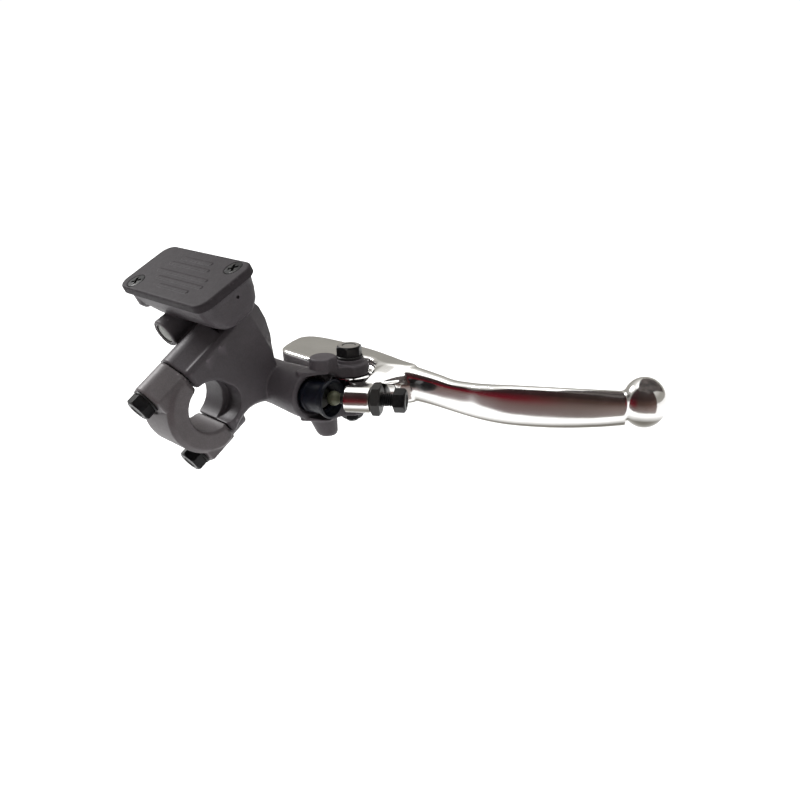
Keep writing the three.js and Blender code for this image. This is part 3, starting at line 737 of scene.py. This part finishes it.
def lid():
    edge = [(math.sin(math.radians(15 * k)) - 1, 1 - math.cos(math.radians(15 * k)))
            for k in range(7)]
    rows = [(-CAP_T, 0.4), (-CAP_T + 0.3, 0.0)] + [(z * 0.9, inset * 1.1) for z, inset in edge]
    blank = loft([[at_lid(a, b, z) for a, b in lid_outline(inset, 6 - inset)]
                  for z, inset in rows])
    half, corner, sunk, height = 0.85, 0.8, -0.6, 0.28
    ribs = [prism(rounded_rect(x0, x1, y - half, y + half, corner), sunk, height, LID)
            for x0, x1, y in RIBS]
    union(blank, *[bevel(rib, 0.16, 2) for rib in ribs])
    cut(blank, prism(rounded_rect(-27, 29, -12, 12, 3, 6), -CAP_T - 1, -CAP_T + 1.3, LID))
    hole_r, head_r, sink = 2.15, 4.45, -2.3
    for x, y in CAP_SCREWS:
        cut(blank, bar(at_lid(x, y, -5), at_lid(x, y, 1), hole_r, 48),
            bar(at_lid(x, y, sink), at_lid(x, y, 0.01), hole_r, 64, head_r),
            bar(at_lid(x, y, 0), at_lid(x, y, 1), head_r, 64))
    soften(blank, voxel=0.20, passes=3)
    place(blank, "reservoir_lid", LID_PAINT, "cast_lid", "reservoir_cap", angle=60)


lid()

CAP_SCREW = [
    (0, -9.6), (1.3, -9.6), (1.6, -9.2), (1.6, -2.35), (1.9, -2.3), (4.0, -0.2), (3.9, -0.1),
    (0, 0.05)]


def cap_screw(x, y, name, node):
    """Countersunk screw with a cross recess."""
    head = turned(CAP_SCREW, at_lid(x, y, 0), RZ, 64)
    turn = math.radians(38)
    ex = X * math.cos(turn) + RY * math.sin(turn)
    ey = RY * math.cos(turn) - X * math.sin(turn)
    m = axes(at_lid(x, y, 0), ex, ey)
    reach, half_width = 2.5, 0.62
    for u, v in ((reach, half_width), (half_width, reach)):
        cross = loft([[m @ V(a * u * k, b * v * k, z)
                       for a, b in ((-1, -1), (1, -1), (1, 1), (-1, 1))]
                      for k, z in ((0.45, -1.7), (1.0, -0.1), (1.05, 0.6))])
        cut(head, cross)
    bevel(head, 0.07, 1, 40)
    place(head, name, BLACK, "black_steel", node)


cap_screw(*CAP_SCREWS[0], "lid_screw_inboard", "cap_screw_inboard")
cap_screw(*CAP_SCREWS[1], "lid_screw_outboard", "cap_screw_outboard")

# ---- sight window --------------------------------------------------------------------------
LENS = [(0, 0.30), (1.5, 0.33), (3.0, 0.45), (4.3, 0.75), (4.6, 1.0), (4.6, 1.5), (0, 1.5)]
LENS_RING = [(4.65, 0.25), (4.9, 0.1), (5.15, 0.25), (5.2, 1.5), (4.65, 1.5), (4.65, 0.25)]
LENS_BACKING = [(0, 1.9), (1.5, 1.75), (3.9, 1.6), (4.1, 1.7), (4.1, 2.4), (0, 2.4)]

place(turned(LENS, GLASS_FACE, RY, 64), "sight_window_lens", WINDOW, "sight_glass", "sight_lens")
place(turned(LENS_RING, GLASS_FACE, RY, 64), "sight_window_ring", DULL_ALLOY, "bare_alloy")
place(turned(LENS_BACKING, GLASS_FACE, RY, 48), "sight_window_backing", FLUID, "sight_glass")


# ---- fasteners -----------------------------------------------------------------------------
HEX_ANGLE = 25                          # edges of a hexagon sharper than this are rounded


def hex_prism(af, height, seat, axis, turn):
    side = (X if abs(axis.x) < 0.9 else Y)
    ex = (side - axis * side.dot(axis)).normalized()
    ex = Matrix.Rotation(turn, 3, axis) @ ex
    m = axes(seat, ex, axis.cross(ex))
    return prism(circle(0, 0, af / math.sqrt(3), 6), 0, height, m)


def hex_head(seat, axis, af, height, turn):
    """Hexagon with a chamfered crown and a shallow dish in its face."""
    head = hex_prism(af, height, seat, axis, turn)
    corner = af / math.sqrt(3)
    crown = turned([(0, -0.5), (corner + 0.4, -0.5), (corner + 0.4, height - 1.15),
                    (af * 0.47, height), (0, height)], seat, axis, 72)
    boolean(head, [crown], "INTERSECT")
    dish, over = height - 0.35, height + 0.2
    cut(head, turned([(0, dish), (af * 0.27, dish), (af * 0.33, over), (0, over)],
                     seat, axis, 48))
    return head


def threaded(seat, axis, r, start, end, pitch):
    """Rod with a real helical thread that fades out at both ends."""
    side, other = square_to(axis)
    sides, rows_per_turn = 36, 8
    rows = max(8, int((end - start) / pitch * rows_per_turn))
    depth = 0.55 * pitch
    rings = []
    for k in range(rows + 1):
        h = start + (end - start) * k / rows
        fade = max(0, min(1, (h - start) / pitch, (end - h) / pitch))
        ring = []
        for i in range(sides):
            phase = (h / pitch + i / sides) % 1
            ridge = 1 - abs(2 * phase - 1)
            rr = r - depth * (1 - min(1, ridge * 1.35)) * fade - 0.25 * (1 - fade)
            a = 2 * math.pi * i / sides
            ring.append(seat + axis * h + side * (rr * math.cos(a)) + other * (rr * math.sin(a)))
        rings.append(ring)
    return loft(rings)


def bolt(name, node, seat, axis, height, length, turn, finish=BLACK):
    head = hex_head(seat, axis, BOLT_AF, height, turn)
    bevel(head, 0.22, 2, HEX_ANGLE)
    shank = turned([(0, -length), (BOLT_R - 0.6, -length), (BOLT_R, 0.6 - length),
                    (BOLT_R, 0.4), (0, 0.4)], seat, axis, 40)
    union(head, shank)
    place(head, name, finish, "black_steel", node, angle=28)


def washer(name, node, seat, axis, r_out, t):
    r_in = BOLT_HOLE_R
    ring = turned([(r_in, 0.12), (r_in + 0.1, 0), (r_out - 0.2, 0), (r_out, 0.2), (r_out, t - 0.25),
                   (r_out - 0.3, t), (r_in + 0.15, t), (r_in, t - 0.12), (r_in, 0.12)],
                  seat, axis, 72)
    place(ring, name, BLACK, "black_steel", node)


BACK = -CN
CLAMP_BOLTS = (                         # side of the bar, name, length, turn of the head
    (1, "upper", 29.5, 12), (-1, "lower", 23.2, 24))
for sign, word, length, turn in CLAMP_BOLTS:
    seat = at_clamp(0, -SEAT_N[sign] - 0.1, sign * BOLT_T)
    washer(f"clamp_washer_{word}_piece", f"clamp_washer_{word}", seat, BACK, 5.9, 1.0)
    bolt(f"clamp_bolt_{word}_piece", f"clamp_bolt_{word}", seat + BACK * 1.1, BACK, 4.8, length,
         math.radians(turn))

TOP = V(*PIVOT, PIVOT_SEAT + 0.1)
washer("pivot_washer_piece", "pivot_washer", TOP, Z, 5.8, 1.1)
bolt("pivot_bolt_piece", "pivot_bolt", TOP + Z * 1.2, Z, 4.3, 30.1, math.radians(8), TOP_LIT_BLACK)


def ring_nut(name, node, seat, axis, af, height, hole, body, turn):
    nut = hex_prism(af, height, seat, axis, turn)
    corner, flat = af / math.sqrt(3) + 0.3, af * 0.48
    crown = turned([(0, -0.2), (flat, 0), (corner, 0.8), (corner, height - 0.8), (flat, height),
                    (0, height + 0.2)], seat, axis, 72)
    boolean(nut, [crown], "INTERSECT")
    cut(nut, bar(seat - axis, seat + axis * (height + 1), hole, 48))
    bevel(nut, 0.2, 2, HEX_ANGLE)
    place(nut, name, BLACK, "black_steel", node, body=body, angle=28)


ring_nut("pivot_nut_piece", "pivot_nut", V(*PIVOT, NUT_SEAT - 0.1), -Z, af=8.6, height=4.0,
         hole=3.1, body="base", turn=math.radians(10))
ring_nut("adjuster_nut_piece", "adjuster_nut", at_adj(11.8), ADJ, af=12, height=4.0,
         hole=2.85, body="lever", turn=math.radians(2))


def adjuster():
    """Screw with its hexagon, and the ball tip that pushes the piston."""
    shaft = union(bar(at_adj(-1.6), at_adj(10), 2.3, 40),
                  threaded(at_adj(0), ADJ, r=2.7, start=8, end=22, pitch=0.9))
    head = hex_head(at_adj(21.4), ADJ, af=9, height=5.0, turn=math.radians(14))
    bevel(head, 0.22, 2, HEX_ANGLE)
    union(shaft, head)
    place(shaft, "adjuster_screw_piece", BLACK, "black_steel", "adjuster_screw", body="lever",
          angle=28)
    dome = arc(0, -4.8, 3.2, -90, 50, 24)
    profile = [(0, dome[0][1])] + [(max(r, 0), h) for r, h in dome[1:]] + [(2.3, -1.6), (0, -1.5)]
    place(turned(profile, at_adj(0), ADJ, 64), "adjuster_tip", ZINC, "zinc_steel", body="lever")


adjuster()

# ---- piston, boot and spring ---------------------------------------------------------------
PISTON = [
    (0, 3), (4.8, 3), (5.0, 3.2), (5.0, 5.6), (3.6, 5.6), (3.6, 8.4), (6.1, 8.4), (6.1, 10.4),
    (4.3, 10.4), (4.3, 20.4), (6.1, 20.4), (6.1, 22.0), (4.3, 22.0), (4.3, 25.2), (6.1, 25.2),
    (6.1, 26.4), (4.6, 26.6), (4.6, 37.5), (4.2, 38.0), (0, 38.0)]
place(turned(PISTON, ON_CYL, X, 64), "piston_piece", ANODISED, "bare_alloy", "piston",
      body="piston")

BOOT = [                                # x, y, lean in degrees, outer radius, inner radius
    [30.1, 37.5, 0, 7.1, 6.3], [31.6, 37.5, 0, 7.1, 6.2], [34, 37.5, 0, 6.9, 5.8],
    [37, 37.7, 5, 6.8, 5.8], [39.2, 38.3, 10, 7.0, 6.1], [40.9, 39.0, 14, 8.1, 7.2],
    [42.0, 39.45, 14, 8.3, 7.6]]


def boot():
    """Sleeve with a bead near its middle and a lip inside, around the piston's rod."""
    rows = catmull(BOOT, 10)
    count = len(rows)
    last = count - 1

    def ring(i, r, push=0.0):
        x, y, lean = rows[i][:3]
        c, s = math.cos(math.radians(lean)), math.sin(math.radians(lean))
        return [V(x + push * c - a * s, y + push * s + a * c, b) for a, b in circle(0, 0, r, 64)]

    def inner(i):
        return ring(i, rows[i][4])

    def bead(i, height, centre, width):
        return height * math.exp(-((i - centre) / width) ** 2)
    rings = []
    for i in range(count):
        beads = bead(i, 0.35, 13, 2.2) + bead(i, 0.15, count - 3, 2.5)
        rings.append(ring(i, rows[i][3] + beads))
    rings += [ring(last, rows[last][3] - 0.05, 0.25), ring(last, rows[last][4] + 0.05, 0.25)]
    rings += [inner(i) for i in range(last, last - 19, -1)]
    rings += [ring(last - 21, 4.9), ring(last - 25, 4.75), ring(last - 29, 5.6)]    # the lip
    rings += [inner(i) for i in range(last - 31, -1, -1)]
    piece = loft(rings, closed=True)
    place(piece, "dust_boot_piece", RUBBER, "rubber", "dust_boot", angle=60)
    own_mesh(piece)


boot()


def spring():
    steps_per_turn, sides = 26, 12
    steps = SPRING_TURNS * steps_per_turn
    rings = []
    for i in range(steps + 1):
        a = SPRING_TURNS * 2 * math.pi * i / steps
        out = V(0, math.cos(a), math.sin(a))
        centre = V(SPRING_START + SPRING_LENGTH * i / steps, CYL_Y, 0)
        ring = []
        for k in range(sides):
            b = -2 * math.pi * k / sides
            ring.append(centre + X * (SPRING_WIRE_R * math.sin(b))
                        + out * (SPRING_R + SPRING_WIRE_R * math.cos(b)))
        rings.append(ring)
    piece = loft(rings)
    place(piece, "return_spring_piece", WIRE, "spring_steel", "return_spring", angle=60)
    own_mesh(piece)


spring()

# ---- lever ---------------------------------------------------------------------------------
HUB = [
    (16.6, 49.4), (21.9, 57.6), (24.9, 62.8), (28.9, 66.6), (35.2, 68.2), (41.2, 66.0), (46, 65.6),
    (52, 68.4), (57.5, 70), (58.2, 75.9), (47.3, 76.2), (37, 77.6), (26.6, 78.6), (14, 78.6),
    (2, 77.8), (-8, 76.6), (-14, 74.4), (-17, 70.6), (-16.6, 66), (-13.4, 58.8), (-10, 52.6),
    (-6, 49.6)]
WEB_PLAN = [
    (34.5, 50.6), (39.2, 50.2), (43.0, 48.3), (52.0, 49.5), (58, 60), (58, 70), (38, 64)]
FLANK = [   # x, y, z of the top edge, then of the foot
    (40.2, 66.8, 9.6, 44.8, 58.5, 6.0), (45.8, 67.4, 9.9, 46.6, 52.4, 5.6),
    (51.4, 70.3, 9.9, 53, 54, 5.0), (56.9, 71.3, 8.93, 57.6, 62.2, 3.63),
    (60.3, 72.1, 7.7, 60.6, 69.3, 2.37)]
FLANK_BOTTOM = -4.83
BLADE = [   # x, y, z of the widest line; height above it; depth below it; thickness
    [49.5, 70.6, 3.0, 6.5, 9.8, 9.0], [56.5, 71.9, 3.8, 5.8, 9.4, 9.6],
    [63, 73.2, 4.7, 4.1, 10.3, 8.8], [69.5, 74.7, 4.6, 3.2, 10.8, 7.6],
    [76.5, 76.2, 3.9, 2.8, 10.9, 6.8], [85, 77.5, 3.2, 4.0, 10.8, 6.6],
    [94, 78.2, 2.6, 5.8, 10.1, 6.8], [103, 79.4, 2.9, 6.9, 9.9, 7.0],
    [112, 82.0, 3.2, 7.5, 9.5, 7.2], [121, 85.2, 3.3, 8.1, 8.7, 7.4],
    [130, 89.0, 3.6, 8.3, 7.8, 7.6], [138.5, 93.2, 4.4, 7.8, 7.2, 8.0],
    [146, 99.4, 5.8, 5.9, 7.6, 8.6]]


def blade():
    rows = catmull(BLADE, 8)
    sides, fullness, fullness_below = 56, 0.8, 0.9
    rings = []
    for i, (x, y, z, up, down, w) in enumerate(rows):
        a, b = rows[max(i - 1, 0)], rows[min(i + 1, len(rows) - 1)]
        run = V(b[0] - a[0], b[1] - a[1]).normalized()
        across = V(-run.y, run.x, 0)
        ring = []
        for k in range(sides):
            q = 2 * math.pi * (k + 0.5) / sides
            c, s = math.cos(q), math.sin(q)
            u = math.copysign(abs(c) ** fullness, c) * w / 2
            v = abs(s) ** fullness * up if s > 0 else -abs(s) ** fullness_below * down
            ring.append(V(x, y, z + v) + across * u)
        rings.append(ring)
    return loft(rings)


def ball():
    steps = 24
    rows = [(BALL_R * math.sin(math.pi * i / steps) * BALL_WIDTH if 0 < i < steps else 0,
             -BALL_R * math.cos(math.pi * i / steps)) for i in range(steps + 1)]
    return turned(rows, V(*BALL_CENTRE), Z, 48)


def lever():
    """One polished casting: hub, tongue between the ears, web, flank, boss, blade and ball."""
    bush_r, thread_r, nut_room_r = 4.3, 3.4, 7.8
    hub = bevel(prism(round_corners(HUB, 4, 5), HUB_BOTTOM, HUB_TOP, FLAT), 1.5, 3)
    tongue = prism(hull(circle(*PIVOT, 8.5, 64) + [(22, 64), (26, 70), (46, 70)]), -6, 6, FLAT)
    web = bevel(prism(WEB_PLAN, -5.2, 5.2, FLAT), 0.8, 2)
    flank = loft([[V(x, y, z), V((x + fx) / 2, (y + fy) / 2, (z + fz) / 2 + 0.5), V(fx, fy, fz),
                   V(fx, fy, FLANK_BOTTOM), V(x, y, FLANK_BOTTOM)]
                  for x, y, z, fx, fy, fz in FLANK])
    boss = turned([(0, 0), (5.2, 0), (5.7, 0.5), (5.7, 11.2), (5.2, 11.7), (0, 11.7)],
                  at_adj(0), ADJ, 72)
    piece = union(hub, tongue, web, flank, boss, blade(), ball())
    cut(piece, bar(V(*PIVOT, -20), V(*PIVOT, 20), bush_r, 48),
        bar(at_adj(-1), at_adj(26), thread_r, 48), bar(at_adj(11.7), at_adj(27.5), nut_room_r, 64))
    soften(piece, voxel=0.40, passes=16)
    place(piece, "lever_piece", POLISHED, "polished_alloy", "lever", body="lever", angle=60)


lever()


# ---- stage, light, camera ------------------------------------------------------------------
FLOOR_SIZE, FLOOR_Z = 60, -0.12         # metres


def floor():
    bpy.ops.mesh.primitive_plane_add(size=FLOOR_SIZE, location=(0, 0, FLOOR_Z))
    plane = bpy.context.object
    plane.name = "floor"
    s = Shader("pale_floor", (0.98, 0.98, 0.99), 1.0, 0.0, Specular_IOR_Level=0.0)
    s.colour(s.ramp(s.noise(160, 2), [(0.3, (0.972, 0.978, 0.992)), (0.7, (0.98, 0.985, 0.998))]))
    plane.data.materials.append(s.material)


floor()


def key_light():
    data = bpy.data.lights.new("key", "AREA")
    data.shape, data.size, data.energy = "DISK", 0.4, 14
    obj = bpy.data.objects.new("key", data)
    bpy.context.scene.collection.objects.link(obj)
    place_m, target_m = Vector((-0.95, -0.25, 0.75)), Vector((0.02, 0.03, 0.02))
    obj.location = place_m
    obj.rotation_euler = (target_m - place_m).to_track_quat("-Z", "Y").to_euler()


key_light()


def mirror_card(name, points, faces, finish):
    """Card kept out of everything but mirror reflections."""
    mesh = bpy.data.meshes.new(name)
    mesh.from_pydata([p * MM for p in points], [], faces)
    mesh.materials.append(finish)
    obj = bpy.data.objects.new(name, mesh)
    bpy.context.scene.collection.objects.link(obj)
    for kind in ("camera", "diffuse", "shadow", "transmission", "volume_scatter"):
        setattr(obj, "visible_" + kind, False)


CARD_FOOT = [[-75, -130], [70, -105], [170, -85], [260, -45], [325, 30], [345, 120]]
CARD_LOW, CARD_HIGH = -118, 520
CARD_INBOARD, CARD_OUTBOARD = 90, 170   # x where the red side changes into the brown one
CARD_RED = [
    (0.0, (0.24, 0.20, 0.20)), (0.09, (0.16, 0.10, 0.095)), (0.16, (0.14, 0.006, 0.014)),
    (0.30, (0.035, 0.010, 0.012)), (0.7, (0.03, 0.02, 0.02)), (0.9, (0.12, 0.11, 0.10))]
CARD_BROWN = [
    (0.0, (0.26, 0.23, 0.22)), (0.11, (0.17, 0.13, 0.12)), (0.20, (0.075, 0.045, 0.038)),
    (0.30, (0.03, 0.018, 0.016)), (0.7, (0.03, 0.025, 0.025)), (0.9, (0.12, 0.11, 0.10))]


def card():
    """Dark reddish card beside the lever, seen only in its polished faces."""
    foot = [r[:2] for r in catmull(CARD_FOOT, 6)]
    n = len(foot)
    s = Shader("reflection_card", (0.02, 0.01, 0.01), 1.0, 0.0, Specular_IOR_Level=0.0)
    height = s.span(s.part(s.coords, "Z"), CARD_LOW * MM, CARD_HIGH * MM)
    side = s.span(s.part(s.coords, "X"), CARD_INBOARD * MM, CARD_OUTBOARD * MM)
    s.colour(s.mix(side, s.ramp(height, CARD_RED), s.ramp(height, CARD_BROWN)))
    mirror_card("reflection_card", [V(x, y, z) for z in (CARD_LOW, CARD_HIGH) for x, y in foot],
                [(i, i + 1, n + i + 1, n + i) for i in range(n - 1)], s.material)


def roof():
    """Dim card above the outer half of the lever, mirrored in its top and in the ball end."""
    s = Shader("reflection_roof", (0.06, 0.05, 0.05), 1.0, 0.0, Specular_IOR_Level=0.0)
    s.colour(s.ramp(s.noise(60, 2), [(0.35, (0.035, 0.03, 0.03)), (0.7, (0.10, 0.085, 0.08))]))
    corners = [V(105, -30, 170), V(290, 20, 170), V(230, 290, 40), V(60, 220, 110)]
    mirror_card("reflection_roof", corners, [(0, 1, 2, 3)], s.material)


card()
roof()

WORLD_STOPS = [                         # from straight down (0) over the horizon (0.5) to the top
    (0.0, (0.92, 0.92, 0.92)), (0.5, (0.155, 0.15, 0.137)), (0.66, (0.155, 0.15, 0.137)),
    (0.76, (0.24, 0.235, 0.22)), (0.86, (0.36, 0.355, 0.34)), (0.94, (0.86, 0.86, 0.85))]
WORLD_STRENGTH, BACKDROP_STRENGTH = 2.3, 1.05


def world():
    w = bpy.data.worlds.new("studio")
    bpy.context.scene.world = w
    w.use_nodes = True
    nodes, links = w.node_tree.nodes, w.node_tree.links
    back = nodes["Background"]
    coords = nodes.new("ShaderNodeTexCoord")
    split = nodes.new("ShaderNodeSeparateXYZ")
    links.new(coords.outputs["Generated"], split.inputs["Vector"])
    halved = nodes.new("ShaderNodeMath")
    halved.operation = "MULTIPLY_ADD"
    halved.inputs[1].default_value = halved.inputs[2].default_value = 0.5
    links.new(split.outputs["Z"], halved.inputs[0])
    ramp = nodes.new("ShaderNodeValToRGB")
    fill_ramp(ramp.color_ramp, WORLD_STOPS)
    links.new(halved.outputs[0], ramp.inputs["Fac"])
    links.new(ramp.outputs["Color"], back.inputs["Color"])
    back.inputs["Strength"].default_value = WORLD_STRENGTH
    white = nodes.new("ShaderNodeBackground")
    white.inputs["Color"].default_value = (1, 1, 1, 1)
    white.inputs["Strength"].default_value = BACKDROP_STRENGTH
    path = nodes.new("ShaderNodeLightPath")
    mixed = nodes.new("ShaderNodeMixShader")
    links.new(path.outputs["Is Camera Ray"], mixed.inputs["Fac"])
    links.new(back.outputs["Background"], mixed.inputs[1])
    links.new(white.outputs["Background"], mixed.inputs[2])
    links.new(mixed.outputs["Shader"], nodes["World Output"].inputs["Surface"])


world()
bpy.context.scene.view_settings.view_transform = "Standard"

CAMERA_PLACE = (327.6, -189.4, 131.3)
CAMERA_ANGLES = (46.844, 19.982, -1.869)        # azimuth, elevation, roll in degrees
CAMERA_LENS, CAMERA_SENSOR = 41.4175, 36.0


def camera():
    azimuth, elevation, roll = (math.radians(a) for a in CAMERA_ANGLES)
    data = bpy.data.cameras.new("camera")
    data.sensor_width, data.lens = CAMERA_SENSOR, CAMERA_LENS
    data.clip_start = 0.01
    obj = bpy.data.objects.new("camera", data)
    bpy.context.scene.collection.objects.link(obj)
    right = V(math.cos(azimuth), math.sin(azimuth), 0)
    back = V(math.sin(azimuth) * math.cos(elevation), -math.cos(azimuth) * math.cos(elevation),
             math.sin(elevation))
    up = back.cross(right)
    r = right * math.cos(roll) + up * math.sin(roll)
    u = up * math.cos(roll) - right * math.sin(roll)
    rotation = Matrix((r, u, back)).transposed().to_4x4()
    obj.matrix_world = Matrix.Translation(V(*CAMERA_PLACE) * MM) @ rotation
    bpy.context.scene.camera = obj


camera()
